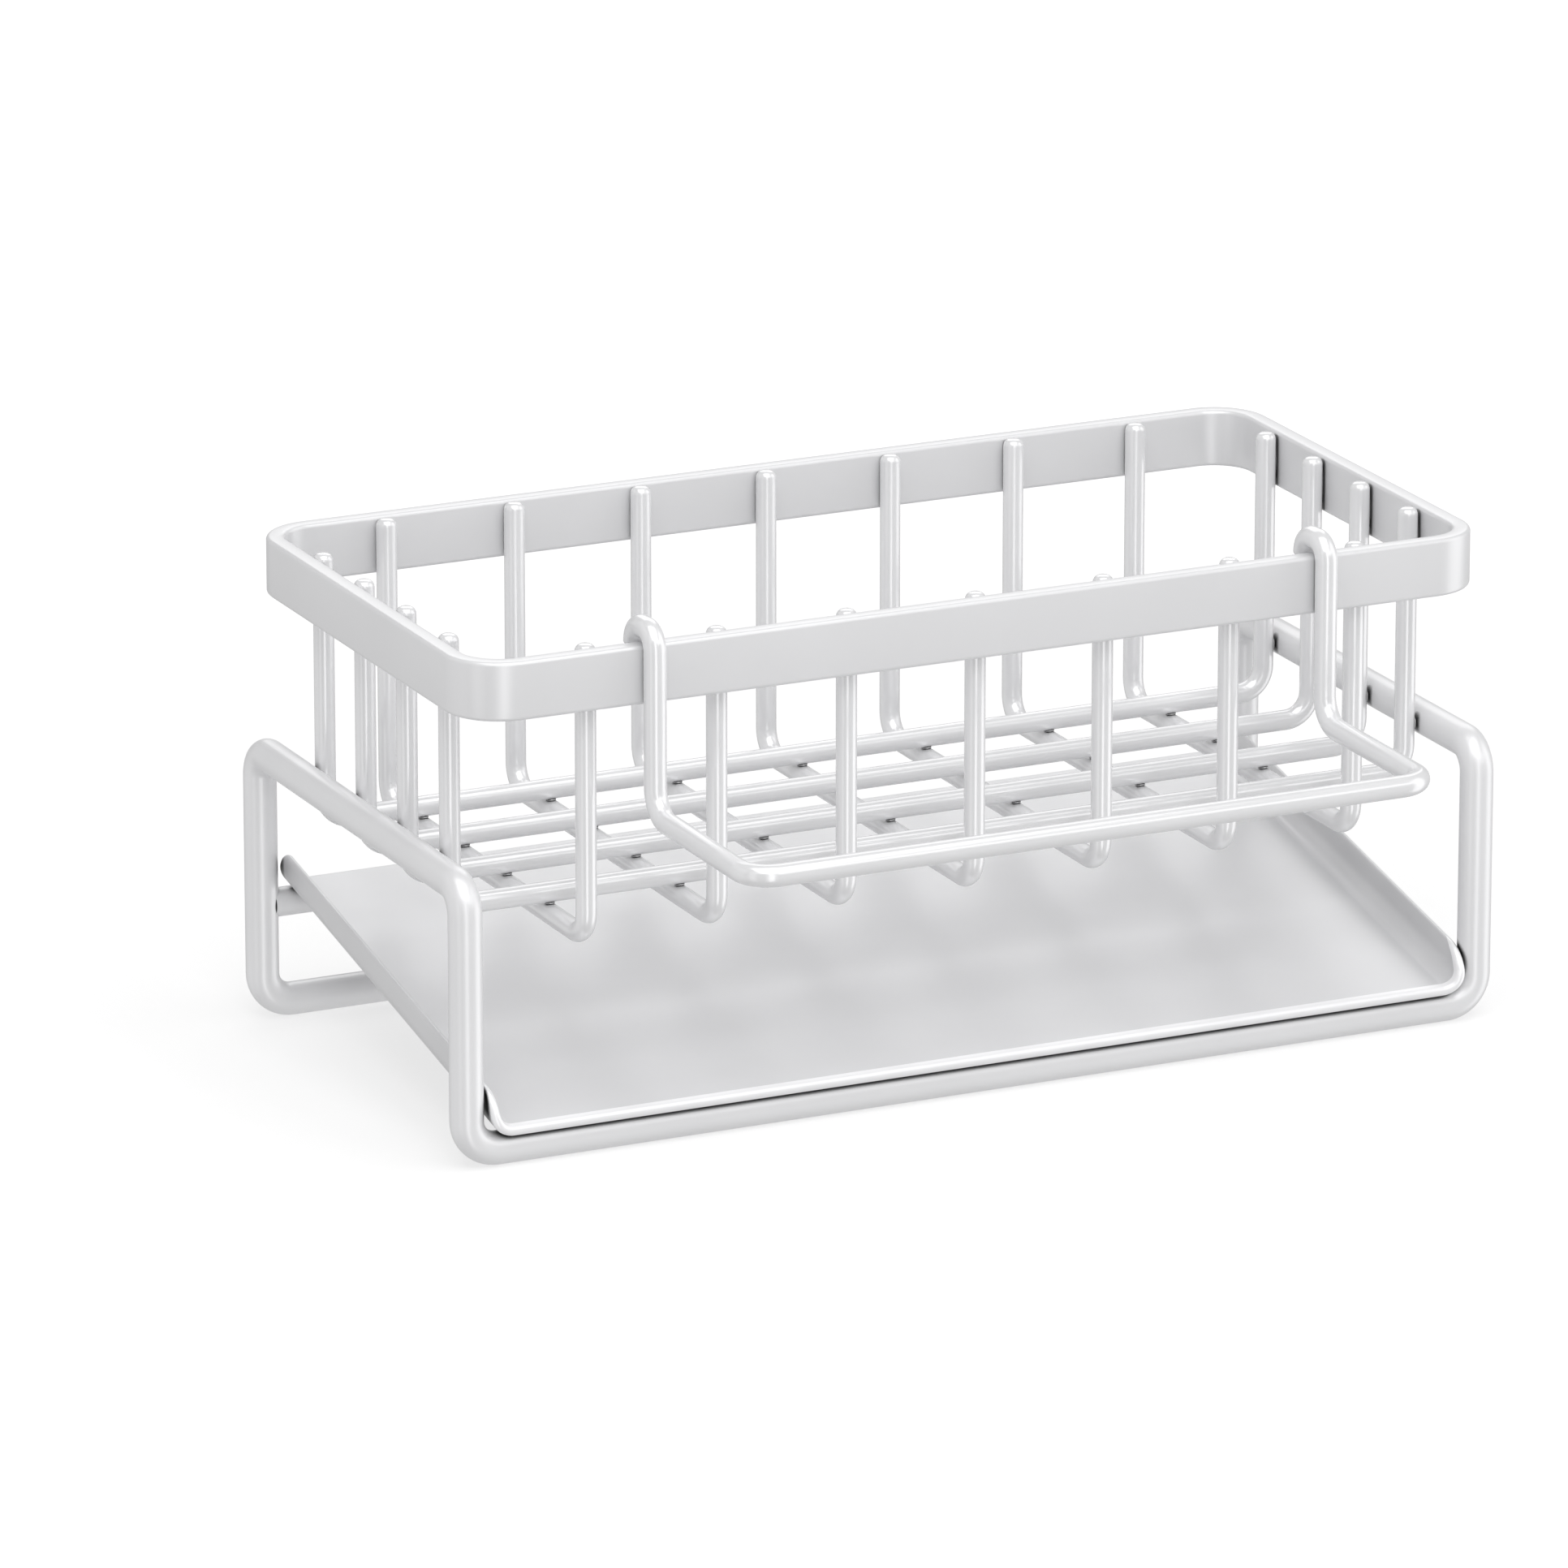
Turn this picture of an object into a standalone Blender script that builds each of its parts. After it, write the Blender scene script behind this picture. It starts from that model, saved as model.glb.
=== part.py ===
"""Kitchen sink caddy: a wire basket on a bent-rod stand, a sloping drip tray and a lift-off cloth bar.

Metres, +Z up, with the front towards -Y. The origin is on the surface that the caddy stands on,
under the middle of its bounding box.
"""

from math import asin, atan2, cos, hypot, pi, radians, sin, sqrt

import bmesh
import bpy
from mathutils import Matrix, Vector

# Gap between pieces that are welded to each other, and between pieces that rest on each other
WELD_GAP = 0.0003
REST_GAP = 0.0003

# Stand: one rod bent to a closed loop, and a rod across its rear legs
STAND_LENGTH = 0.230
STAND_DEPTH = 0.110
FRAME_ROD = 0.0068
SIDE_RAIL_HEIGHT = 0.0572
FOOT_BEND = 0.0063
SHOULDER_BEND = 0.0055
SUPPORT_ROD = 0.0060
SUPPORT_HEIGHT = 0.0243

# Rim: a flat bar bent to a rounded rectangle
RIM_DEPTH = 0.110
RIM_BAR_HEIGHT = 0.0120
RIM_BAR_THICKNESS = 0.0038
RIM_TOP = 0.103
RIM_CORNER = 0.0115
RIM_EDGE_ROUND = 0.0009

# Basket wires
WIRE = 0.0042
WIRE_BEND = 0.0055
FLOOR_HEIGHT = 0.0428
CROSS_WIRES = 7
CROSS_PITCH = 0.02815
LONG_WIRES = 4
LONG_PITCH = 0.0208

# Drip tray: a folded sheet with a hemmed front edge
SHEET = 0.0013
TRAY_WALL_HEIGHT = 0.0086
TRAY_FOLD = 0.0050
TRAY_REAR_CORNER = 0.0045
TRAY_FRONT_CORNER = 0.0074
TRAY_REAR_OVERHANG = 0.0010
TRAY_FRONT_OVERHANG = 0.0034
HEM_THICKNESS = 0.0021
HEM_WIDTH = 0.0020
HEM_STEP = 0.0005

# Cloth bar: a rod with two hooks
CLOTH_ROD = 0.0045
HOOK_SPACING = 0.1470
CLOTH_REACH = 0.0472
CLOTH_DROP = 0.0341
HOOK_BEND = 0.0039
HOOK_SLACK = 0.0006
KNEE_BEND = 0.0060
CLOTH_CORNER = 0.0060

# Facets
FRAME_SIDES = 16
WIRE_SIDES = 12
FRAME_BEND_STEPS = 6
WIRE_BEND_STEPS = 5
HOOK_BEND_STEPS = 6
EDGE_STEPS = 2
DOME_STEPS = 3
FOLD_STEPS = 5
WALL_STEPS = 6
SHARP_ANGLE = radians(40)
MERGE = 0.000001

# Satin paint
PAINT_ROUGHNESS = 0.38
PAINT_METALLIC = 0.15
FRAME_COLOUR = (0.78, 0.78, 0.79, 1.0)
RIM_COLOUR = (0.80, 0.80, 0.81, 1.0)
WIRE_COLOUR = (0.82, 0.82, 0.83, 1.0)
TRAY_COLOUR = (0.76, 0.76, 0.77, 1.0)
CLOTH_COLOUR = (0.81, 0.81, 0.82, 1.0)

# Places that follow from the sizes above
frame_radius = FRAME_ROD / 2
wire_radius = WIRE / 2
cloth_radius = CLOTH_ROD / 2
leg_x = STAND_LENGTH / 2 - frame_radius
leg_y = STAND_DEPTH / 2 - frame_radius
leg_inner_x = leg_x - frame_radius
rim_length = 2 * leg_inner_x + 2 * RIM_BAR_THICKNESS
rim_front = RIM_DEPTH / 2
rim_inner_y = rim_front - RIM_BAR_THICKNESS
cross_upright_y = rim_inner_y - WELD_GAP - wire_radius
long_upright_x = leg_inner_x - WELD_GAP - wire_radius
long_floor = FLOOR_HEIGHT + WIRE + WELD_GAP
hook_leg_y = -rim_front - REST_GAP - cloth_radius
hook_tip_y = hook_leg_y + CLOTH_ROD + RIM_BAR_THICKNESS + 2 * REST_GAP + HOOK_SLACK
hook_centre = RIM_TOP - RIM_EDGE_ROUND
cloth_bar_y = -rim_front - CLOTH_REACH
box_middle_y = (STAND_DEPTH / 2 + cloth_bar_y - cloth_radius) / 2


def clear_scene():
    for old in list(bpy.data.objects):
        bpy.data.objects.remove(old, do_unlink=True)


def paint(name, colour):
    """A satin paint of its own for one piece."""
    material = bpy.data.materials.new(name + "_paint")
    material.use_nodes = True
    shader = material.node_tree.nodes["Principled BSDF"]
    shader.inputs["Base Color"].default_value = colour
    shader.inputs["Roughness"].default_value = PAINT_ROUGHNESS
    shader.inputs["Metallic"].default_value = PAINT_METALLIC
    material.diffuse_color = colour
    return material


def add_piece(name, shape, origin, colour, parent):
    """Makes the bmesh an object whose own origin is at the given point of the stand's frame."""
    bmesh.ops.remove_doubles(shape, verts=shape.verts, dist=MERGE)
    bmesh.ops.recalc_face_normals(shape, faces=shape.faces)
    bmesh.ops.translate(shape, verts=shape.verts, vec=-origin)
    mesh = bpy.data.meshes.new(name)
    shape.to_mesh(mesh)
    shape.free()
    mesh.shade_smooth()
    mesh.set_sharp_from_angle(angle=SHARP_ANGLE)
    mesh.materials.append(paint(name, colour))
    piece = bpy.data.objects.new(name, mesh)
    bpy.context.scene.collection.objects.link(piece)
    piece.parent = parent
    piece.location = origin
    return piece


def round_section(diameter, sides):
    """Section of a round rod, with flats that face along both of its axes."""
    corner_radius = diameter / 2 / cos(pi / sides)
    angles = [pi * (2 * i + 1) / sides for i in range(sides)]
    return [(corner_radius * cos(a), corner_radius * sin(a)) for a in angles]


def flat_section(thickness, height, rounding, steps):
    """Section of a flat bar with rounded edges."""
    points = []
    for quarter in range(4):
        turn = quarter * pi / 2
        side = Vector((cos(turn + pi / 4), sin(turn + pi / 4)))
        centre_x = (thickness / 2 - rounding) * (1 if side.x > 0 else -1)
        centre_y = (height / 2 - rounding) * (1 if side.y > 0 else -1)
        for step in range(steps + 1):
            angle = turn + step * pi / 2 / steps
            points.append((centre_x + rounding * cos(angle), centre_y + rounding * sin(angle)))
    return points


def ring_at(shape, section, place, heading, across):
    """A closed loop of edges: the section, set square to the heading."""
    along = across.cross(heading)
    verts = [shape.verts.new(place + across * u + along * v) for u, v in section]
    return [shape.edges.new((a, b)) for a, b in zip(verts, verts[1:] + verts[:1])]


def push(shape, edges, step):
    """Extrudes a loop of edges straight on, and returns the new loop."""
    made = bmesh.ops.extrude_edge_only(shape, edges=edges)["geom"]
    moved = [item for item in made if isinstance(item, bmesh.types.BMVert)]
    bmesh.ops.translate(shape, verts=moved, vec=step)
    return [item for item in made if isinstance(item, bmesh.types.BMEdge)]


def dome_angle(step):
    return step * pi / 2 / (DOME_STEPS + 1)


def close_end(shape, edges, centre, heading, dome_radius):
    """Closes a bar's end with a flat cut or, where a radius is given, with a dome."""
    for step in range(DOME_STEPS if dome_radius else 0):
        rise = sin(dome_angle(step + 1)) - sin(dome_angle(step))
        edges = push(shape, edges, heading * dome_radius * rise)
        verts = list({vert for edge in edges for vert in edge.verts})
        middle = centre + heading * dome_radius * sin(dome_angle(step + 1))
        shrink = cos(dome_angle(step + 1)) / cos(dome_angle(step))
        bmesh.ops.scale(shape, verts=verts, vec=(shrink,) * 3, space=Matrix.Translation(-middle))
    bmesh.ops.contextual_create(shape, geom=edges)


def bent_bar(section, corners, bends, across, bend_steps, closed=False, dome_radius=0.0):
    """A bar of one section, bent round a list of corners.

    Each inner corner of an open bar, or each corner of a closed one, has its own bend radius at
    the bar's centre line. An open bar ends in a flat cut or, with a dome radius, in a dome whose
    top is at the first and last corner. A closed bar's joint is midway from its last corner to its
    first.
    """
    shape = bmesh.new()
    if closed:
        start = (corners[-1] + corners[0]) / 2
        route = corners + [start]
    else:
        dome_height = dome_radius * sin(dome_angle(DOME_STEPS))
        start = corners[0] + (corners[1] - corners[0]).normalized() * dome_height
        end = corners[-1] + (corners[-2] - corners[-1]).normalized() * dome_height
        route = corners[1:-1] + [end]
    heading = (route[0] - start).normalized()
    edges = ring_at(shape, section, start, heading, across)
    if not closed:
        close_end(shape, edges, start, -heading, dome_radius)
    place = start
    for corner, after, radius in zip(route, route[1:], bends):
        turned = (after - corner).normalized()
        run = (corner - place).length - radius
        if run > MERGE:
            edges = push(shape, edges, heading * run)
        made = bmesh.ops.spin(
            shape,
            geom=edges,
            cent=corner + (turned - heading) * radius,
            axis=heading.cross(turned),
            angle=pi / 2,
            steps=bend_steps,
            use_merge=False,
            use_normal_flip=False,
            use_duplicate=False,
        )["geom_last"]
        edges = [item for item in made if isinstance(item, bmesh.types.BMEdge)]
        place = corner + turned * radius
        heading = turned
    run = (route[-1] - place).length
    if run > MERGE:
        edges = push(shape, edges, heading * run)
    if not closed:
        close_end(shape, edges, route[-1], heading, dome_radius)
    return shape


def wire_u(low, high, name, origin, parent):
    """A basket wire: up one side, across the floor and up the other side."""
    (x0, y0, floor), (x1, y1, top) = low, high
    places = ((x0, y0, top), (x0, y0, floor), (x1, y1, floor), (x1, y1, top))
    corners = [Vector(place) for place in places]
    across = Vector((0, 0, 1)).cross((corners[2] - corners[1]).normalized())
    section = round_section(WIRE, WIRE_SIDES)
    bends = [WIRE_BEND] * 2
    shape = bent_bar(section, corners, bends, across, WIRE_BEND_STEPS, dome_radius=wire_radius)
    return add_piece(name, shape, origin, WIRE_COLOUR, parent)


def add_base_frame(parent):
    low = frame_radius
    rear_left_foot = Vector((-leg_x, leg_y, low))
    rear_left_top = Vector((-leg_x, leg_y, SIDE_RAIL_HEIGHT))
    front_left_top = Vector((-leg_x, -leg_y, SIDE_RAIL_HEIGHT))
    front_left_foot = Vector((-leg_x, -leg_y, low))
    left_half = [rear_left_foot, rear_left_top, front_left_top, front_left_foot]
    right_half = [Vector((-p.x, p.y, p.z)) for p in reversed(left_half)]
    half_bends = [FOOT_BEND, SHOULDER_BEND, SHOULDER_BEND, FOOT_BEND]
    section = round_section(FRAME_ROD, FRAME_SIDES)
    corners = left_half + right_half
    shape = bent_bar(section, corners, half_bends * 2, Vector((0, 1, 0)), FRAME_BEND_STEPS, closed=True)
    add_piece("base_frame", shape, Vector((0, 0, 0)), FRAME_COLOUR, parent)


def add_tray_support_rod(parent):
    half = leg_inner_x - WELD_GAP
    ends = [Vector((-half, leg_y, SUPPORT_HEIGHT)), Vector((half, leg_y, SUPPORT_HEIGHT))]
    section = round_section(SUPPORT_ROD, WIRE_SIDES)
    shape = bent_bar(section, ends, [], Vector((0, 1, 0)), WIRE_BEND_STEPS)
    origin = Vector((0, leg_y, SUPPORT_HEIGHT))
    add_piece("tray_support_rod", shape, origin, FRAME_COLOUR, parent)


def add_rim_band(parent):
    half_x = (rim_length - RIM_BAR_THICKNESS) / 2
    half_y = (RIM_DEPTH - RIM_BAR_THICKNESS) / 2
    height = RIM_TOP - RIM_BAR_HEIGHT / 2
    corners = [Vector((x * half_x, y * half_y, height)) for x, y in ((-1, 1), (-1, -1), (1, -1), (1, 1))]
    section = flat_section(RIM_BAR_THICKNESS, RIM_BAR_HEIGHT, RIM_EDGE_ROUND, EDGE_STEPS)
    bends = [RIM_CORNER - RIM_BAR_THICKNESS / 2] * 4
    shape = bent_bar(section, corners, bends, Vector((0, 1, 0)), FRAME_BEND_STEPS, closed=True)
    add_piece("rim_band", shape, Vector((0, 0, height)), RIM_COLOUR, parent)


def add_wires(parent):
    for i in range(CROSS_WIRES):
        x = (i - (CROSS_WIRES - 1) / 2) * CROSS_PITCH
        low = (x, -cross_upright_y, FLOOR_HEIGHT)
        high = (x, cross_upright_y, RIM_TOP)
        wire_u(low, high, f"cross_wire_{i + 1}", Vector((x, 0, FLOOR_HEIGHT)), parent)
    for i in range(LONG_WIRES):
        y = (i - (LONG_WIRES - 1) / 2) * LONG_PITCH
        low = (-long_upright_x, y, long_floor)
        high = (long_upright_x, y, RIM_TOP)
        wire_u(low, high, f"long_wire_{i + 1}", Vector((0, y, long_floor)), parent)


def tray_seat():
    """Slope of the tray, and the points of its underside over the front rail and the support rod."""
    front_reach = frame_radius + REST_GAP
    rear_reach = SUPPORT_ROD / 2 + REST_GAP
    rise = SUPPORT_HEIGHT - frame_radius
    distance = hypot(2 * leg_y, rise)
    slope = atan2(rise, 2 * leg_y) - asin((front_reach - rear_reach) / distance)
    normal = Vector((0, -sin(slope), cos(slope)))
    front = Vector((0, -leg_y, frame_radius)) + normal * front_reach
    rear = Vector((0, leg_y, SUPPORT_HEIGHT)) + normal * rear_reach
    return slope, front, rear


def tray_profile():
    """The outer face from the floor's right edge to the top of the right wall, with its inward side."""
    half = leg_inner_x - REST_GAP
    profile = []
    for step in range(FOLD_STEPS + 1):
        angle = step * pi / 2 / FOLD_STEPS
        out = Vector((sin(angle), -cos(angle)))
        profile.append((Vector((half - TRAY_FOLD, TRAY_FOLD)) + out * TRAY_FOLD, -out))
    for step in range(1, WALL_STEPS + 1):
        height = TRAY_FOLD + (TRAY_WALL_HEIGHT - TRAY_FOLD) * sin(step * pi / 2 / WALL_STEPS)
        profile.append((Vector((half, height)), Vector((-1, 0))))
    return profile


def setback(height, corner):
    """How far the rounded corner at a wall's end stands back, at a height over the tray's underside."""
    above = max(height - (TRAY_WALL_HEIGHT - corner), 0.0)
    return corner - sqrt(max(corner**2 - above**2, 0.0))


def tray_stations(height, tray_length):
    """Places along the tray at a height of its wall, each with the sheet's thickness there."""
    rear_end = tray_length - setback(height, TRAY_REAR_CORNER)
    front_setback = setback(height, TRAY_FRONT_CORNER)
    hem = SHEET + (HEM_THICKNESS - SHEET) * (1 - front_setback / TRAY_FRONT_CORNER)
    return [
        (rear_end, SHEET),
        (front_setback + HEM_WIDTH + HEM_STEP, SHEET),
        (front_setback + HEM_WIDTH, hem),
        (front_setback, hem),
    ]


def add_drip_tray(parent):
    """A folded sheet, bridged from section to section, from its rear edge to its hemmed front edge."""
    slope, front_seat, rear_seat = tray_seat()
    tray_length = TRAY_FRONT_OVERHANG + (rear_seat - front_seat).length + TRAY_REAR_OVERHANG
    profile = tray_profile()
    stations = [tray_stations(place.y, tray_length) for place, _ in profile]
    row_length = 2 * len(profile)
    shape = bmesh.new()
    loops = []
    for station in range(len(stations[0])):
        outer = []
        inner = []
        for (place, inward), row in zip(profile, stations):
            along, thickness = row[station]
            inside = place + inward * thickness
            outer.append(Vector((place.x, along, place.y)))
            inner.append(Vector((inside.x, along, inside.y)))
        outer = [Vector((-p.x, p.y, p.z)) for p in reversed(outer)] + outer
        inner = [Vector((-p.x, p.y, p.z)) for p in reversed(inner)] + inner
        verts = [shape.verts.new(p) for p in outer + inner[::-1]]
        loops.append([shape.edges.new((a, b)) for a, b in zip(verts, verts[1:] + verts[:1])])
    for behind, ahead in zip(loops, loops[1:]):
        bmesh.ops.bridge_loops(shape, edges=behind + ahead)
    for end in (loops[0], loops[-1]):
        bmesh.ops.bridge_loops(shape, edges=end[: row_length - 1] + end[row_length : 2 * row_length - 1])
    bmesh.ops.translate(shape, verts=shape.verts, vec=Vector((0, -TRAY_FRONT_OVERHANG, 0)))
    tray = add_piece("drip_tray", shape, Vector((0, 0, 0)), TRAY_COLOUR, parent)
    tray.location = front_seat
    tray.rotation_euler = (slope, 0, 0)


def add_cloth_bar(parent):
    x = HOOK_SPACING / 2
    hook_top = hook_centre + HOOK_BEND
    bar_height = RIM_TOP - CLOTH_DROP
    tip = Vector((x, hook_tip_y, hook_centre))
    over_rim = Vector((x, hook_tip_y, hook_top))
    hook_front = Vector((x, hook_leg_y, hook_top))
    knee = Vector((x, hook_leg_y, bar_height))
    bar_end = Vector((x, cloth_bar_y, bar_height))
    right_half = [bar_end, knee, hook_front, over_rim, tip]
    left_half = [Vector((-p.x, p.y, p.z)) for p in reversed(right_half)]
    bends = [HOOK_BEND, HOOK_BEND, KNEE_BEND, CLOTH_CORNER]
    section = round_section(CLOTH_ROD, WIRE_SIDES)
    corners = left_half + right_half
    shape = bent_bar(section, corners, bends + bends[::-1], Vector((1, 0, 0)), HOOK_BEND_STEPS)
    origin = Vector((0, -rim_front + RIM_BAR_THICKNESS / 2, hook_centre))
    add_piece("cloth_bar", shape, origin, CLOTH_COLOUR, parent)


clear_scene()
stand = bpy.data.objects.new("stand_centre", None)
bpy.context.scene.collection.objects.link(stand)
stand.location = (0, -box_middle_y, 0)
add_base_frame(stand)
add_tray_support_rod(stand)
add_rim_band(stand)
add_wires(stand)
add_drip_tray(stand)
add_cloth_bar(stand)
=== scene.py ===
"""Looks of a kitchen sink caddy: satin-coated wire basket, stand, drip tray and lift-off cloth bar.

Metres, +Z up, with the front towards -Y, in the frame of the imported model.
"""

from math import asin, atan2, cos, hypot, pi, radians, sin, sqrt

import bmesh
import bpy
from mathutils import Matrix, Vector


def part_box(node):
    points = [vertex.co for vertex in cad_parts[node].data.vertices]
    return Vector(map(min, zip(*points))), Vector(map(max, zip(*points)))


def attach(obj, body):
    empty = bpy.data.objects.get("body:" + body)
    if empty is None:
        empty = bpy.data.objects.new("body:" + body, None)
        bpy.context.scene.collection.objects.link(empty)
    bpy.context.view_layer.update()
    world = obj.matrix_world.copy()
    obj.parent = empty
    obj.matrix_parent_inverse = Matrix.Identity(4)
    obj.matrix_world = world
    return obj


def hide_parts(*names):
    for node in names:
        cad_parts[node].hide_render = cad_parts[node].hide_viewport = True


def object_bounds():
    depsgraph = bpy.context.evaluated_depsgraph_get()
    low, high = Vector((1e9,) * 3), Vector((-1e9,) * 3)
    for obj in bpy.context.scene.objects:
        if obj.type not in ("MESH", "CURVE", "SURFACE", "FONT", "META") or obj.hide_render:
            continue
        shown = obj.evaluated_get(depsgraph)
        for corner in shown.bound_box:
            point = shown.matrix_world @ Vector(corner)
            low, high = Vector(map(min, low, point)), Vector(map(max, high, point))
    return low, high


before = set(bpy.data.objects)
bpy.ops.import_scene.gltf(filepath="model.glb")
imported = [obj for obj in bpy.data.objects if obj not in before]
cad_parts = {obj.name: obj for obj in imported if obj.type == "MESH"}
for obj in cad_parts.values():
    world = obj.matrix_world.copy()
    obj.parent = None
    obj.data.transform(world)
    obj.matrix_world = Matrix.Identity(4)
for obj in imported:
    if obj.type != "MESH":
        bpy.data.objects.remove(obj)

cad_low, cad_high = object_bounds()

# Rods and wires
FRAME_ROD = 0.0068
FOOT_BEND = 0.0063
SHOULDER_BEND = 0.0055
WIRE_BEND = 0.0055
WIRE_TIP_ROUND = 0.0015
CLOTH_ROD = 0.0045
CLOTH_TIP_ROUND = 0.0006
HOOK_BEND = 0.0039
KNEE_BEND = 0.0060
CLOTH_CORNER = 0.0060
REST_GAP = 0.0003
WELD_SINK = 0.0012

# Rim bar
RIM_BAR_THICKNESS = 0.0038
RIM_CORNER = 0.0115
RIM_EDGE_ROUND = 0.0009

# Drip tray
SHEET = 0.0013
TRAY_WALL_HEIGHT = 0.0086
TRAY_FOLD = 0.0050
TRAY_REAR_CORNER = 0.0045
TRAY_FRONT_CORNER = 0.0074
TRAY_REAR_OVERHANG = 0.0010
TRAY_FRONT_OVERHANG = 0.0034
HEM_THICKNESS = 0.0021
HEM_WIDTH = 0.0020
HEM_STEP = 0.0006

# Half sizes of the weld beads: across and along the wire, and into the gap
CROSSING_BEAD = (0.0010, 0.0010, 0.0005)
RAIL_BEAD = (0.0005, 0.0009, 0.0013)
RIM_BEAD = (0.0006, 0.0005, 0.0046)

# Smoothness
FRAME_SIDES = 48
WIRE_SIDES = 36
BEND_STEPS = 14
TIP_STEPS = 5
EDGE_STEPS = 5
FOLD_STEPS = 12
WALL_STEPS = 14
NOSE_STEPS = 6
BEAD_SIDES = 16
SHARP_ANGLE = radians(38)
MERGE = 0.000001

# Powder coat: the scale and detail of each noise, and the part of its range that counts
CLOUD_NOISE = (38.0, 3.0)
GLOSS_NOISE = (420.0, 2.0)
PEEL_NOISE = (900.0, 1.5)
NOISE_RANGE = (0.3, 0.7)
GLOSS_SPREAD = 0.04
PEEL_HEIGHT = 0.00004

# Painted shade: dark lines darkened into the colour in the gaps between touching pieces
GAP_SHADE_OPENNESS = (0.35, 0.80)
GAP_SHADE_SAMPLES = 8

# Values of each coat, with the reach and depth of its painted gap shade. The wires' values serve the
# cloth bar too
COAT_IOR = 1.5
STAND_LOOK = {
    "Colour": (0.78, 0.78, 0.79, 1.0),
    "Metallic": 0.25,
    "Roughness": 0.32,
    "Clouding": 0.015,
    "Peel Depth": 0.10,
    "Gap Shade Reach": 0.0015,
    "Gap Shade Tone": 0.03,
}
RIM_LOOK = STAND_LOOK | {
    "Colour": (0.74, 0.74, 0.75, 1.0),
    "Roughness": 0.31,
    "Gap Shade Reach": 0.0008,
    "Gap Shade Tone": 0.2,
}
WIRE_LOOK = STAND_LOOK | {
    "Colour": (0.80, 0.80, 0.81, 1.0),
    "Metallic": 0.30,
    "Roughness": 0.20,
    "Gap Shade Reach": 0.0008,
    "Gap Shade Tone": 0.1,
}
# The tray's coat is darker than the stand's: partly a duller, more metallic finish, partly painted
# shade for its place under the basket
TRAY_LOOK = STAND_LOOK | {
    "Colour": (0.68, 0.68, 0.69, 1.0),
    "Metallic": 0.30,
    "Clouding": 0.020,
    "Peel Depth": 0.12,
    "Gap Shade Reach": 0.0020,
    "Gap Shade Tone": 0.02,
}
# Painted highlight: the colour of the tray's hem, lighter than the coat, standing for the light the
# rolled edge catches
HEM_HIGHLIGHT_COLOUR = (0.88, 0.88, 0.89, 1.0)

# Light levels, where 1 shows a colour as it is written
WHITE_LEVEL = 1.0
WHITE = (1.0, 1.0, 1.0, 1.0)
WORLD_LEVEL = 0.45
TABLE_LEVEL = 0.58
TABLE_EDGE = 0.15

# Soft lamps: name, azimuth, elevation, distance, width, height and level
SOFTBOXES = (
    ("top_softbox", -15, 66, 1.3, 1.4, 1.4, 0.72),
    ("rear_softbox", 155, 34, 1.4, 1.1, 0.8, 0.16),
    ("front_softbox", 25, 30, 1.3, 0.9, 0.35, 0.06),
)

# Strips of light: azimuth of the middle, half width and strength, with soft sides and ends
LIGHT_STRIPS = (
    (-13, 9, 1.3),
    (70, 20, 1.0),
    (-66, 10, 0.4),
    (-125, 35, 0.25),
)
STRIP_SIDE_EDGE = 6
STRIP_TOP = 0.7
STRIP_TOP_EDGE = 0.1

# Floor: its lift towards white grows from the caddy outwards
FLOOR_HALF_SIZE = 5.0
FLOOR_COLOUR = (0.40, 0.40, 0.40, 1.0)
FLOOR_LIFT = 0.60
FLOOR_FADE = (0.25, 0.80)

# Camera, at the angle of the reference picture
CAMERA_PLACE = (-0.9948, -2.056175, 0.7652)
CAMERA_TILT = radians(72.762)
CAMERA_TURN = radians(-25.127)
CAMERA_LENS = 274.3
CAMERA_SENSOR = 36.0

frame_low, frame_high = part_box("base_frame")
rim_low, rim_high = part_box("rim_band")
support_low, support_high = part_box("tray_support_rod")
cloth_low, cloth_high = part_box("cloth_bar")
frame_radius = FRAME_ROD / 2
front_y = frame_low.y + frame_radius
rear_y = frame_high.y - frame_radius
leg_x = frame_high.x - frame_radius
leg_inner_x = leg_x - frame_radius
support_radius = (support_high.z - support_low.z) / 2
support_height = (support_high.z + support_low.z) / 2
cross_wires = [name for name in sorted(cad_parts) if name.startswith("cross_wire")]
long_wires = [name for name in sorted(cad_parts) if name.startswith("long_wire")]


def finish_piece(name, shape, node, body, material):
    """Makes the bmesh a smooth object that moves with its body, in place of its CAD node, if any."""
    bmesh.ops.remove_doubles(shape, verts=shape.verts, dist=MERGE)
    bmesh.ops.recalc_face_normals(shape, faces=shape.faces)
    mesh = bpy.data.meshes.new(name)
    shape.to_mesh(mesh)
    shape.free()
    mesh.shade_smooth()
    mesh.set_sharp_from_angle(angle=SHARP_ANGLE)
    mesh.materials.append(material)
    piece = bpy.data.objects.new(name, mesh)
    bpy.context.scene.collection.objects.link(piece)
    if node:
        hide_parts(node)
    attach(piece, body)


def round_section(diameter, sides):
    """Points round a rod's section."""
    angles = [2 * pi * i / sides for i in range(sides)]
    return [(diameter / 2 * cos(a), diameter / 2 * sin(a)) for a in angles]


def flat_section(thickness, height, rounding, steps):
    """Points round a flat bar's section, with its edges rounded."""
    points = []
    for quarter in range(4):
        turn = quarter * pi / 2
        centre_x = (thickness / 2 - rounding) * (1 if cos(turn + pi / 4) > 0 else -1)
        centre_y = (height / 2 - rounding) * (1 if sin(turn + pi / 4) > 0 else -1)
        for step in range(steps + 1):
            angle = turn + step * pi / 2 / steps
            points.append((centre_x + rounding * cos(angle), centre_y + rounding * sin(angle)))
    return points


def push(shape, edges, step):
    """Extrudes a loop of edges straight on, and returns the new loop."""
    made = bmesh.ops.extrude_edge_only(shape, edges=edges)["geom"]
    moved = [item for item in made if isinstance(item, bmesh.types.BMVert)]
    bmesh.ops.translate(shape, verts=moved, vec=step)
    return [item for item in made if isinstance(item, bmesh.types.BMEdge)]


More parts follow.
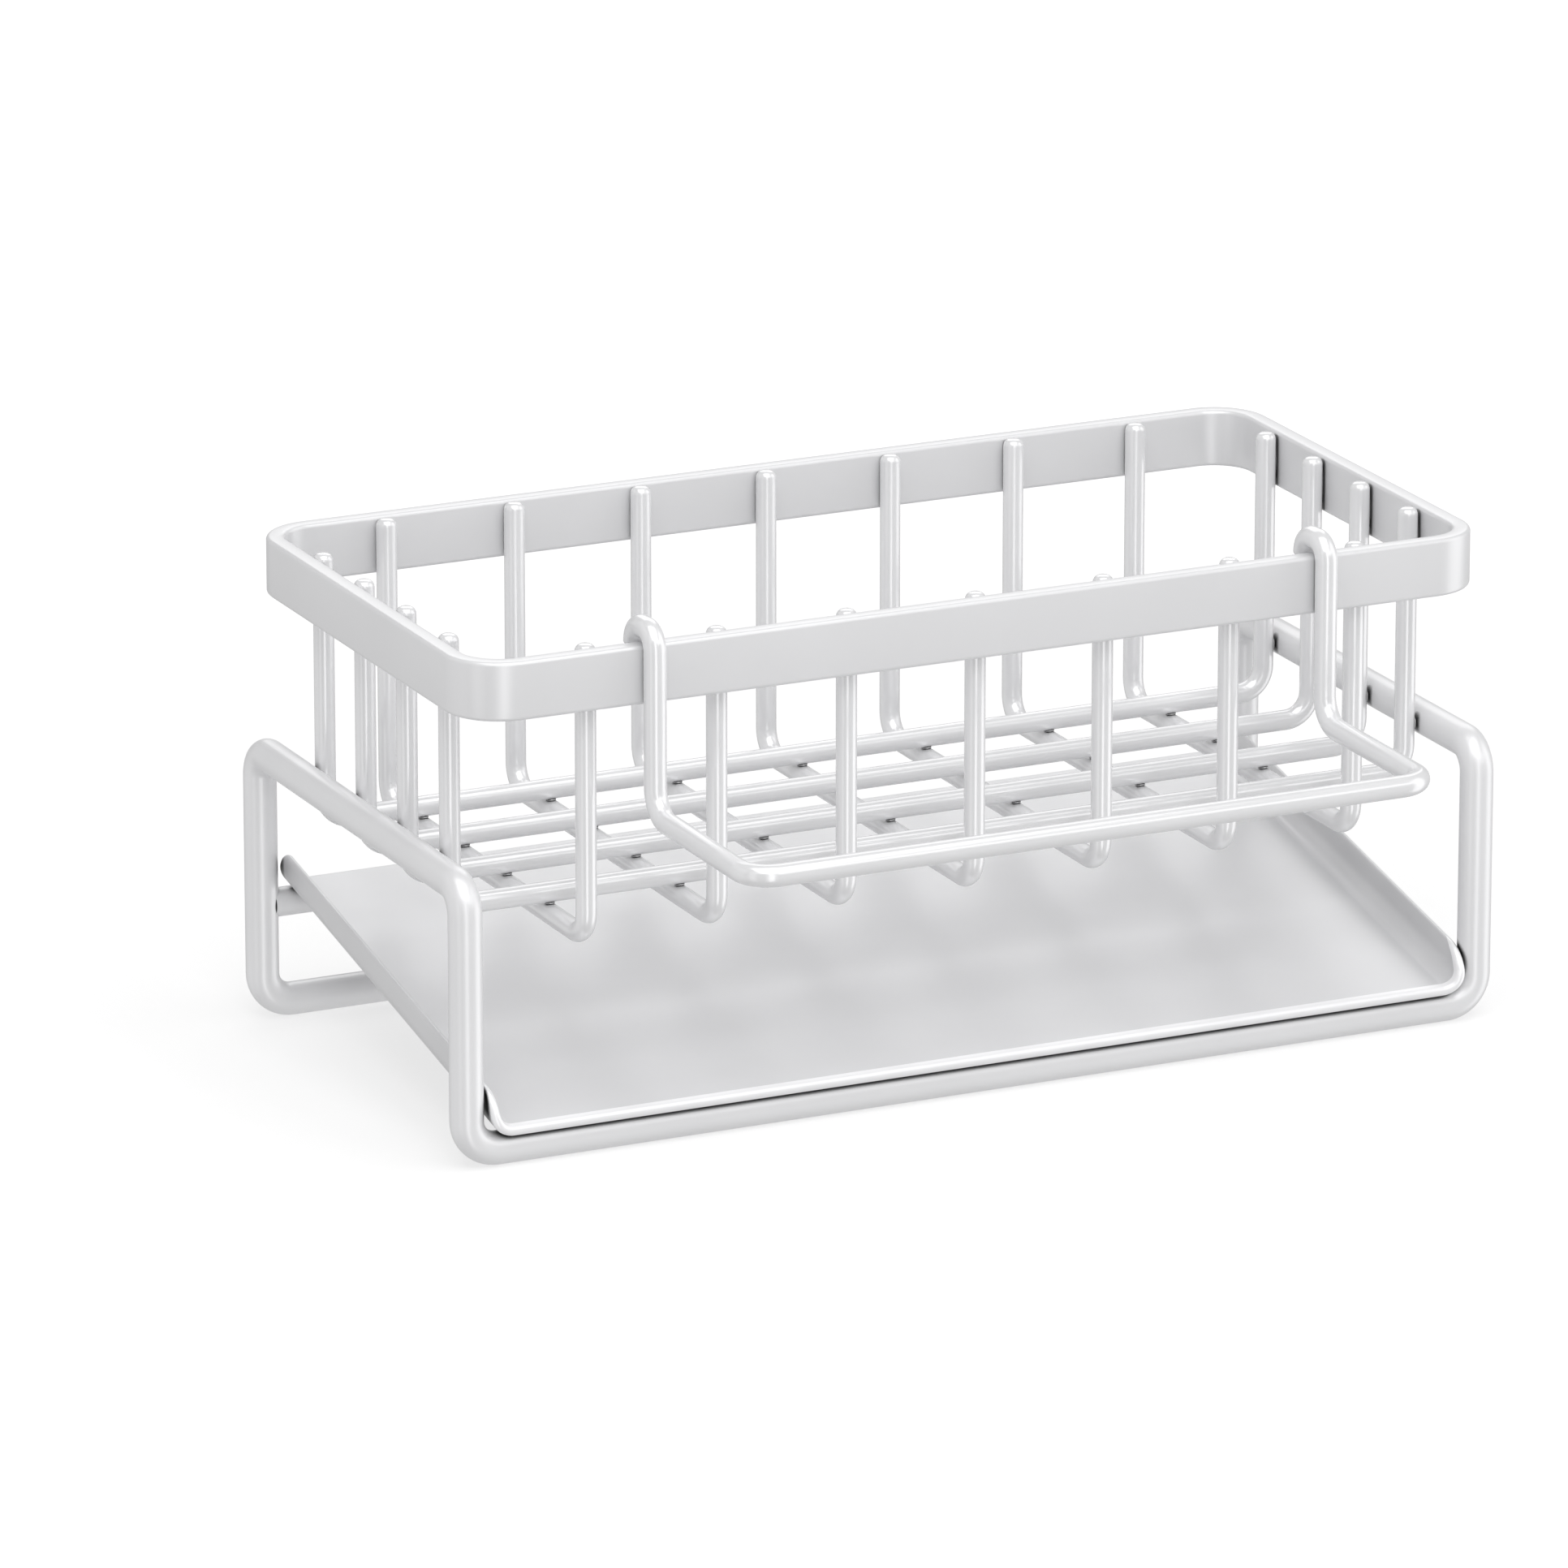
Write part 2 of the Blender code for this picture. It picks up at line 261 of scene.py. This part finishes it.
def close_tip(shape, edges, centre, heading, radius, rounding):
    """Closes a rod's end with a flat cut whose edge is rounded."""
    for step in range(TIP_STEPS if rounding else 0):
        angle = step * pi / 2 / TIP_STEPS
        after = (step + 1) * pi / 2 / TIP_STEPS
        edges = push(shape, edges, heading * rounding * (sin(after) - sin(angle)))
        verts = list({vert for edge in edges for vert in edge.verts})
        middle = centre + heading * rounding * sin(after)
        flat = radius - rounding
        shrink = (flat + rounding * cos(after)) / (flat + rounding * cos(angle))
        bmesh.ops.scale(shape, verts=verts, vec=(shrink,) * 3, space=Matrix.Translation(-middle))
    bmesh.ops.contextual_create(shape, geom=edges)


def bent_bar(section, corners, bends, across, closed=False, rounding=0.0):
    """A bar of one section, bent round a list of corners, each with its own bend radius."""
    shape = bmesh.new()
    radius = section[0][0]
    if closed:
        start = (corners[-1] + corners[0]) / 2
        route = corners + [start]
    else:
        start = corners[0] + (corners[1] - corners[0]).normalized() * rounding
        route = corners[1:-1] + [corners[-1] + (corners[-2] - corners[-1]).normalized() * rounding]
    heading = (route[0] - start).normalized()
    along = across.cross(heading)
    verts = [shape.verts.new(start + across * u + along * v) for u, v in section]
    edges = [shape.edges.new((a, b)) for a, b in zip(verts, verts[1:] + verts[:1])]
    if not closed:
        close_tip(shape, edges, start, -heading, radius, rounding)
    place = start
    for corner, after, bend in zip(route, route[1:], bends):
        turned = (after - corner).normalized()
        run = (corner - place).length - bend
        if run > MERGE:
            edges = push(shape, edges, heading * run)
        made = bmesh.ops.spin(
            shape,
            geom=edges,
            cent=corner + (turned - heading) * bend,
            axis=heading.cross(turned),
            angle=pi / 2,
            steps=BEND_STEPS,
            use_merge=False,
            use_normal_flip=False,
            use_duplicate=False,
        )["geom_last"]
        edges = [item for item in made if isinstance(item, bmesh.types.BMEdge)]
        place = corner + turned * bend
        heading = turned
    run = (route[-1] - place).length
    if run > MERGE:
        edges = push(shape, edges, heading * run)
    if not closed:
        close_tip(shape, edges, route[-1], heading, radius, rounding)
    return shape


def make_stand_rod(material):
    """The stand's closed loop of thick rod."""
    low = frame_low.z + frame_radius
    high = frame_high.z - frame_radius
    places = ((rear_y, low), (rear_y, high), (front_y, high), (front_y, low))
    left_half = [Vector((-leg_x, y, z)) for y, z in places]
    right_half = [Vector((-p.x, p.y, p.z)) for p in reversed(left_half)]
    bends = [FOOT_BEND, SHOULDER_BEND, SHOULDER_BEND, FOOT_BEND] * 2
    section = round_section(FRAME_ROD, FRAME_SIDES)
    shape = bent_bar(section, left_half + right_half, bends, Vector((0, 1, 0)), closed=True)
    finish_piece("stand_rod", shape, "base_frame", "stand", material)


def make_support_rod(material):
    """The straight rod under the back of the tray, sunk into the welds at both legs."""
    half = leg_inner_x + WELD_SINK
    ends = [Vector((-half, rear_y, support_height)), Vector((half, rear_y, support_height))]
    section = round_section(2 * support_radius, FRAME_SIDES)
    shape = bent_bar(section, ends, [], Vector((0, 1, 0)))
    finish_piece("rear_tray_rest", shape, "tray_support_rod", "stand", material)


def make_rim(material):
    """The basket's flat rim bar."""
    half = RIM_BAR_THICKNESS / 2
    height = (rim_low.z + rim_high.z) / 2
    xs = (rim_low.x + half, rim_high.x - half)
    ys = (rim_low.y + half, rim_high.y - half)
    places = ((xs[0], ys[1]), (xs[0], ys[0]), (xs[1], ys[0]), (xs[1], ys[1]))
    corners = [Vector((x, y, height)) for x, y in places]
    section = flat_section(RIM_BAR_THICKNESS, rim_high.z - rim_low.z, RIM_EDGE_ROUND, EDGE_STEPS)
    shape = bent_bar(section, corners, [RIM_CORNER - half] * 4, Vector((0, 1, 0)), closed=True)
    finish_piece("basket_rim", shape, "rim_band", "stand", material)


def make_wire(node, lengthways, material):
    """One U-shaped basket wire, from the box of its CAD node."""
    low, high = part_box(node)
    wire = high.y - low.y if lengthways else high.x - low.x
    radius = wire / 2
    middle = (low + high) / 2
    floor = low.z + radius
    if lengthways:
        ends = [Vector((x, middle.y, floor)) for x in (low.x + radius, high.x - radius)]
    else:
        ends = [Vector((middle.x, y, floor)) for y in (low.y + radius, high.y - radius)]
    rise = Vector((0, 0, high.z - floor))
    corners = [ends[0] + rise, ends[0], ends[1], ends[1] + rise]
    across = Vector((0, 0, 1)).cross((ends[1] - ends[0]).normalized())
    section = round_section(wire, WIRE_SIDES)
    shape = bent_bar(section, corners, [WIRE_BEND] * 2, across, rounding=WIRE_TIP_ROUND)
    finish_piece(node + "_coated", shape, node, "stand", material)


def tray_seat():
    """Slope of the tray, and the points of its underside over the front rail and the support rod."""
    front_reach = frame_radius + REST_GAP
    rear_reach = support_radius + REST_GAP
    rise = support_height - frame_radius
    run = rear_y - front_y
    slope = atan2(rise, run) - asin((front_reach - rear_reach) / hypot(run, rise))
    normal = Vector((0, -sin(slope), cos(slope)))
    front = Vector((0, front_y, frame_radius)) + normal * front_reach
    rear = Vector((0, rear_y, support_height)) + normal * rear_reach
    return slope, front, rear


def setback(height, corner):
    """How far the rounded corner at a wall's end stands back, at a height over the tray's underside."""
    above = max(height - (TRAY_WALL_HEIGHT - corner), 0.0)
    return corner - sqrt(max(corner**2 - above**2, 0.0))


def tray_profile():
    """The outer face from the floor's right edge to the top of the right wall, with its inward side."""
    half = leg_inner_x - REST_GAP
    profile = []
    for step in range(FOLD_STEPS + 1):
        angle = step * pi / 2 / FOLD_STEPS
        out = Vector((sin(angle), -cos(angle)))
        profile.append((Vector((half - TRAY_FOLD, TRAY_FOLD)) + out * TRAY_FOLD, -out))
    for step in range(1, WALL_STEPS + 1):
        height = TRAY_FOLD + (TRAY_WALL_HEIGHT - TRAY_FOLD) * sin(step * pi / 2 / WALL_STEPS)
        profile.append((Vector((half, height)), Vector((-1, 0))))
    return profile


def edge_distance(along, height, tray_length):
    """How far a place on the sheet lies inside the sheet's rounded outline."""
    distance = min(along, tray_length - along, TRAY_WALL_HEIGHT - height)
    front_reach = along - TRAY_FRONT_CORNER
    rear_reach = tray_length - TRAY_REAR_CORNER - along
    front = Vector((front_reach, height - (TRAY_WALL_HEIGHT - TRAY_FRONT_CORNER)))
    rear = Vector((rear_reach, height - (TRAY_WALL_HEIGHT - TRAY_REAR_CORNER)))
    if front.x < 0 and front.y > 0:
        distance = TRAY_FRONT_CORNER - front.length
    if rear.x < 0 and rear.y > 0:
        distance = TRAY_REAR_CORNER - rear.length
    return distance if distance > MERGE else 0.0


def tray_stations(height, tray_length):
    """Places along the tray at one height, from the rear, each with the sheet's thickness and rounding.

    The last NOSE_STEPS + 2 of them lie on the hem.
    """
    rear_end = tray_length - setback(height, TRAY_REAR_CORNER)
    front_setback = setback(height, TRAY_FRONT_CORNER)
    hem = SHEET + (HEM_THICKNESS - SHEET) * (1 - front_setback / TRAY_FRONT_CORNER)
    noses = [1 - cos(step * pi / 2 / NOSE_STEPS) for step in range(NOSE_STEPS + 1)]
    places = [(rear_end - SHEET / 2 * nose, SHEET) for nose in noses]
    places.append((front_setback + HEM_WIDTH + HEM_STEP, SHEET))
    places.append((front_setback + HEM_WIDTH, hem))
    places += [(front_setback + hem / 2 * nose, hem) for nose in reversed(noses)]
    stations = []
    for along, thickness in places:
        radius = thickness / 2
        short = radius - min(edge_distance(along, height, tray_length), radius)
        stations.append((along, thickness, radius - sqrt(radius**2 - short**2)))
    return stations


def make_drip_tray(material):
    """The folded tray, bridged from section to section, with its sheet rounded along the edges."""
    slope, front_seat, rear_seat = tray_seat()
    tray_length = TRAY_FRONT_OVERHANG + (rear_seat - front_seat).length + TRAY_REAR_OVERHANG
    profile = tray_profile()
    stations = [tray_stations(place.y, tray_length) for place, _ in profile]
    hem_start = len(stations[0]) - (NOSE_STEPS + 2)
    shape = bmesh.new()
    # Marks the hem, where a highlight is painted into the colour
    hem_highlight_mask = shape.verts.layers.float.new("hem")
    loops = []
    for station in range(len(stations[0])):
        outer = []
        inner = []
        for (place, inward), row in zip(profile, stations):
            along, thickness, inset = row[station]
            outside = place + inward * inset
            inside = place + inward * (thickness - inset)
            outer.append(Vector((outside.x, along, outside.y)))
            inner.append(Vector((inside.x, along, inside.y)))
        outer = [Vector((-p.x, p.y, p.z)) for p in reversed(outer)] + outer
        inner = [Vector((-p.x, p.y, p.z)) for p in reversed(inner)] + inner
        verts = [shape.verts.new(p) for p in outer + inner[::-1]]
        for vert in verts:
            vert[hem_highlight_mask] = station >= hem_start
        loops.append([shape.edges.new((a, b)) for a, b in zip(verts, verts[1:] + verts[:1])])
    for behind, ahead in zip(loops, loops[1:]):
        bmesh.ops.bridge_loops(shape, edges=behind + ahead)
    bmesh.ops.translate(shape, verts=shape.verts, vec=Vector((0, -TRAY_FRONT_OVERHANG, 0)))
    turn = Matrix.Rotation(slope, 4, "X")
    bmesh.ops.transform(shape, matrix=Matrix.Translation(front_seat) @ turn, verts=shape.verts)
    finish_piece("folded_tray", shape, "drip_tray", "tray", material)


def make_cloth_bar(material):
    """The cloth bar: one thin rod with a hook at each end."""
    radius = CLOTH_ROD / 2
    x = cloth_high.x - radius
    hook_top = cloth_high.z - radius
    leg_y = rim_low.y - REST_GAP - radius
    tip_y = cloth_high.y - radius
    bar_height = cloth_low.z + radius
    tip = Vector((x, tip_y, hook_top - HOOK_BEND - CLOTH_TIP_ROUND))
    over_rim = Vector((x, tip_y, hook_top))
    hook_front = Vector((x, leg_y, hook_top))
    knee = Vector((x, leg_y, bar_height))
    bar_end = Vector((x, cloth_low.y + radius, bar_height))
    right_half = [bar_end, knee, hook_front, over_rim, tip]
    left_half = [Vector((-p.x, p.y, p.z)) for p in reversed(right_half)]
    half_bends = [HOOK_BEND, HOOK_BEND, KNEE_BEND, CLOTH_CORNER]
    shape = bent_bar(
        round_section(CLOTH_ROD, WIRE_SIDES),
        left_half + right_half,
        half_bends + half_bends[::-1],
        Vector((1, 0, 0)),
        rounding=CLOTH_TIP_ROUND,
    )
    finish_piece("cloth_rail", shape, "cloth_bar", "cloth_bar", material)


def add_bead(shape, place, half_sizes):
    """One small weld bead in the gap between two pieces."""
    matrix = Matrix.Translation(place) @ Matrix.Diagonal((*half_sizes, 1))
    bmesh.ops.create_uvsphere(
        shape,
        u_segments=BEAD_SIDES,
        v_segments=BEAD_SIDES // 2,
        radius=1,
        matrix=matrix,
    )


def make_weld_beads(material):
    """The weld beads where wires cross, and where they meet the rim and the side rails."""
    shape = bmesh.new()
    rim_middle = (rim_low.z + rim_high.z) / 2
    rail_height = frame_high.z - frame_radius
    across, along, tall = RIM_BEAD
    for cross in cross_wires:
        low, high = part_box(cross)
        x = (low.x + high.x) / 2
        for y in (low.y, high.y):
            add_bead(shape, Vector((x, y, rim_middle)), RIM_BEAD)
        for long in long_wires:
            long_low, long_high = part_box(long)
            height = long_low.z - REST_GAP / 2
            add_bead(shape, Vector((x, (long_low.y + long_high.y) / 2, height)), CROSSING_BEAD)
    for long in long_wires:
        low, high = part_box(long)
        y = (low.y + high.y) / 2
        for x in (low.x, high.x):
            add_bead(shape, Vector((x, y, rim_middle)), (along, across, tall))
            add_bead(shape, Vector((x, y, rail_height)), RAIL_BEAD)
    finish_piece("weld_beads", shape, None, "stand", material)


def feed(tree, value, target):
    """Links an output to a node's input, or writes a plain value there."""
    if isinstance(value, bpy.types.NodeSocket):
        tree.links.new(value, target)
    else:
        target.default_value = value


def math_node(tree, operation, *values):
    """The result of a math node on plain values and outputs."""
    node = tree.nodes.new("ShaderNodeMath")
    node.operation = operation
    for value, target in zip(values, node.inputs):
        feed(tree, value, target)
    return node.outputs["Value"]


def map_range(tree, value, source, target, interpolation="SMOOTHSTEP"):
    """Maps a value from the source's two ends to the target's, and no further."""
    node = tree.nodes.new("ShaderNodeMapRange")
    node.interpolation_type = interpolation
    feed(tree, value, node.inputs["Value"])
    for name, end in zip(("From Min", "From Max", "To Min", "To Max"), (*source, *target)):
        feed(tree, end, node.inputs[name])
    return node.outputs["Result"]


def coat_group():
    """Powder coat: soft clouding of the colour, painted shade in the gaps between touching pieces,
    uneven gloss and a fine orange peel.
    """
    group = bpy.data.node_groups.new("powder_coat", "ShaderNodeTree")
    sockets = (
        ("Colour", "NodeSocketColor", "INPUT"),
        ("Clouding", "NodeSocketFloat", "INPUT"),
        ("Roughness", "NodeSocketFloat", "INPUT"),
        ("Peel Depth", "NodeSocketFloat", "INPUT"),
        ("Gap Shade Reach", "NodeSocketFloat", "INPUT"),
        ("Gap Shade Tone", "NodeSocketFloat", "INPUT"),
        ("Colour", "NodeSocketColor", "OUTPUT"),
        ("Roughness", "NodeSocketFloat", "OUTPUT"),
        ("Normal", "NodeSocketVector", "OUTPUT"),
    )
    for name, kind, direction in sockets:
        group.interface.new_socket(name=name, in_out=direction, socket_type=kind)
    nodes = group.nodes
    links = group.links
    inputs = nodes.new("NodeGroupInput").outputs
    outputs = nodes.new("NodeGroupOutput").inputs
    place = nodes.new("ShaderNodeTexCoord")

    def noise(scale, detail):
        texture = nodes.new("ShaderNodeTexNoise")
        texture.inputs["Scale"].default_value = scale
        texture.inputs["Detail"].default_value = detail
        links.new(place.outputs["Object"], texture.inputs["Vector"])
        return texture.outputs["Fac"]

    darker = math_node(group, "SUBTRACT", 1.0, inputs["Clouding"])
    lighter = math_node(group, "ADD", 1.0, inputs["Clouding"])
    clouds = map_range(group, noise(*CLOUD_NOISE), NOISE_RANGE, (darker, lighter), "LINEAR")

    # Painted shade: the colour falls from 1 to the set tone where two pieces all but touch
    openness = nodes.new("ShaderNodeAmbientOcclusion")
    openness.samples = GAP_SHADE_SAMPLES
    links.new(inputs["Gap Shade Reach"], openness.inputs["Distance"])
    painted_gap_shade = map_range(group, openness.outputs["AO"], GAP_SHADE_OPENNESS, (inputs["Gap Shade Tone"], 1.0))

    tint = nodes.new("ShaderNodeVectorMath")
    tint.operation = "SCALE"
    links.new(inputs["Colour"], tint.inputs[0])
    links.new(math_node(group, "MULTIPLY", clouds, painted_gap_shade), tint.inputs["Scale"])
    links.new(tint.outputs["Vector"], outputs["Colour"])

    uneven = math_node(group, "MULTIPLY", noise(*GLOSS_NOISE), GLOSS_SPREAD)
    centred = math_node(group, "SUBTRACT", uneven, GLOSS_SPREAD / 2)
    links.new(math_node(group, "ADD", centred, inputs["Roughness"]), outputs["Roughness"])

    peel = nodes.new("ShaderNodeBump")
    peel.inputs["Distance"].default_value = PEEL_HEIGHT
    links.new(inputs["Peel Depth"], peel.inputs["Strength"])
    links.new(noise(*PEEL_NOISE), peel.inputs["Height"])
    links.new(peel.outputs["Normal"], outputs["Normal"])
    return group


def coated(name, group, look):
    """A satin powder coat on metal, with the values of its look."""
    material = bpy.data.materials.new(name)
    material.use_nodes = True
    nodes = material.node_tree.nodes
    links = material.node_tree.links
    shader = nodes["Principled BSDF"]
    shader.inputs["IOR"].default_value = COAT_IOR
    coat = nodes.new("ShaderNodeGroup")
    coat.node_tree = group
    for key, value in look.items():
        node = shader if key == "Metallic" else coat
        node.inputs[key].default_value = value
    links.new(coat.outputs["Colour"], shader.inputs["Base Color"])
    links.new(coat.outputs["Roughness"], shader.inputs["Roughness"])
    links.new(coat.outputs["Normal"], shader.inputs["Normal"])
    return material


def paint_hem_highlight(material):
    """Paints a highlight on the tray's hem: a lighter colour than its floor, standing for the light the
    edge catches.
    """
    nodes = material.node_tree.nodes
    links = material.node_tree.links
    coat = next(node for node in nodes if node.type == "GROUP")
    hem = nodes.new("ShaderNodeAttribute")
    hem.attribute_name = "hem"
    paint = nodes.new("ShaderNodeMix")
    paint.data_type = "RGBA"
    paint.inputs["A"].default_value = coat.inputs["Colour"].default_value
    paint.inputs["B"].default_value = HEM_HIGHLIGHT_COLOUR
    links.new(hem.outputs["Fac"], paint.inputs["Factor"])
    links.new(paint.outputs["Result"], coat.inputs["Colour"])


def floor_material():
    """A matt floor that also glows towards the camera, less so near the caddy's shadow."""
    material = bpy.data.materials.new("pale_floor")
    material.use_nodes = True
    tree = material.node_tree
    nodes = tree.nodes
    links = tree.links
    nodes.remove(nodes["Principled BSDF"])
    place = nodes.new("ShaderNodeTexCoord")
    reach = nodes.new("ShaderNodeVectorMath")
    reach.operation = "LENGTH"
    links.new(place.outputs["Object"], reach.inputs[0])
    fade = map_range(tree, reach.outputs["Value"], FLOOR_FADE, (FLOOR_LIFT, WHITE_LEVEL))
    path = nodes.new("ShaderNodeLightPath")
    glow = nodes.new("ShaderNodeEmission")
    lift = math_node(tree, "MULTIPLY", path.outputs["Is Camera Ray"], fade)
    links.new(lift, glow.inputs["Strength"])
    matt = nodes.new("ShaderNodeBsdfDiffuse")
    matt.inputs["Color"].default_value = FLOOR_COLOUR
    total = nodes.new("ShaderNodeAddShader")
    links.new(matt.outputs["BSDF"], total.inputs[0])
    links.new(glow.outputs["Emission"], total.inputs[1])
    links.new(total.outputs["Shader"], nodes["Material Output"].inputs["Surface"])
    return material


def make_floor():
    """A pale floor that shows white to the camera and keeps the shadow."""
    shape = bmesh.new()
    bmesh.ops.create_grid(shape, x_segments=1, y_segments=1, size=FLOOR_HALF_SIZE)
    mesh = bpy.data.meshes.new("floor")
    shape.to_mesh(mesh)
    shape.free()
    mesh.materials.append(floor_material())
    floor = bpy.data.objects.new("floor", mesh)
    bpy.context.scene.collection.objects.link(floor)
    floor.visible_diffuse = False
    floor.visible_glossy = False
    floor.visible_shadow = False


def make_world():
    """An even studio with tall soft strips of light round it, white to the camera."""
    world = bpy.data.worlds.new("studio")
    bpy.context.scene.world = world
    world.use_nodes = True
    tree = world.node_tree
    nodes = tree.nodes
    background = nodes["Background"]
    background.inputs["Color"].default_value = WHITE
    place = nodes.new("ShaderNodeTexCoord")
    split = nodes.new("ShaderNodeSeparateXYZ")
    tree.links.new(place.outputs["Generated"], split.inputs["Vector"])
    height = split.outputs["Z"]
    front = math_node(tree, "MULTIPLY", split.outputs["Y"], -1.0)
    azimuth = math_node(tree, "ARCTAN2", split.outputs["X"], front)
    tops = (STRIP_TOP + STRIP_TOP_EDGE, STRIP_TOP - STRIP_TOP_EDGE)
    reach = map_range(tree, math_node(tree, "ABSOLUTE", height), tops, (0.0, 1.0))
    studio = map_range(tree, height, (TABLE_EDGE, -TABLE_EDGE), (WORLD_LEVEL, TABLE_LEVEL))
    for middle, half_width, strength in LIGHT_STRIPS:
        off = math_node(tree, "ABSOLUTE", math_node(tree, "SUBTRACT", azimuth, radians(middle)))
        sides = (radians(half_width - STRIP_SIDE_EDGE), radians(half_width + STRIP_SIDE_EDGE))
        strip = map_range(tree, off, sides, (strength, 0.0))
        studio = math_node(tree, "ADD", math_node(tree, "MULTIPLY", strip, reach), studio)
    camera_ray = nodes.new("ShaderNodeLightPath").outputs["Is Camera Ray"]
    level = map_range(tree, camera_ray, (0.0, 1.0), (studio, WHITE_LEVEL), "LINEAR")
    tree.links.new(level, background.inputs["Strength"])


def add_softbox(name, azimuth, elevation, distance, width, height, level):
    """A soft lamp aimed at the caddy. Its level is what it adds to a surface that faces it."""
    target = (cad_low + cad_high) / 2
    a = radians(azimuth)
    e = radians(elevation)
    back = Vector((sin(a) * cos(e), -cos(a) * cos(e), sin(e)))
    data = bpy.data.lights.new(name, "AREA")
    data.shape = "RECTANGLE"
    data.size = width
    data.size_y = height
    data.energy = level * (pi * distance) ** 2
    lamp = bpy.data.objects.new(name, data)
    bpy.context.scene.collection.objects.link(lamp)
    lamp.location = target + back * distance
    lamp.rotation_euler = back.to_track_quat("Z", "Y").to_euler()


def make_camera():
    """The camera that sees the caddy as the reference picture does."""
    data = bpy.data.cameras.new("camera")
    data.lens = CAMERA_LENS
    data.sensor_width = CAMERA_SENSOR
    camera = bpy.data.objects.new("camera", data)
    bpy.context.scene.collection.objects.link(camera)
    camera.location = CAMERA_PLACE
    camera.rotation_euler = (CAMERA_TILT, 0, CAMERA_TURN)
    bpy.context.scene.camera = camera


powder_coat = coat_group()
stand_coat = coated("stand_coat", powder_coat, STAND_LOOK)
rim_coat = coated("rim_coat", powder_coat, RIM_LOOK)
wire_coat = coated("wire_coat", powder_coat, WIRE_LOOK)
tray_coat = coated("tray_coat", powder_coat, TRAY_LOOK)
# Painted highlight on the tray's hem
paint_hem_highlight(tray_coat)
cloth_coat = coated("cloth_bar_coat", powder_coat, WIRE_LOOK)

make_stand_rod(stand_coat)
make_support_rod(stand_coat)
make_rim(rim_coat)
for wire_node in cross_wires:
    make_wire(wire_node, False, wire_coat)
for wire_node in long_wires:
    make_wire(wire_node, True, wire_coat)
make_weld_beads(wire_coat)
make_drip_tray(tray_coat)
make_cloth_bar(cloth_coat)

make_floor()
make_world()
for softbox in SOFTBOXES:
    add_softbox(*softbox)
make_camera()
bpy.context.scene.view_settings.view_transform = "Standard"
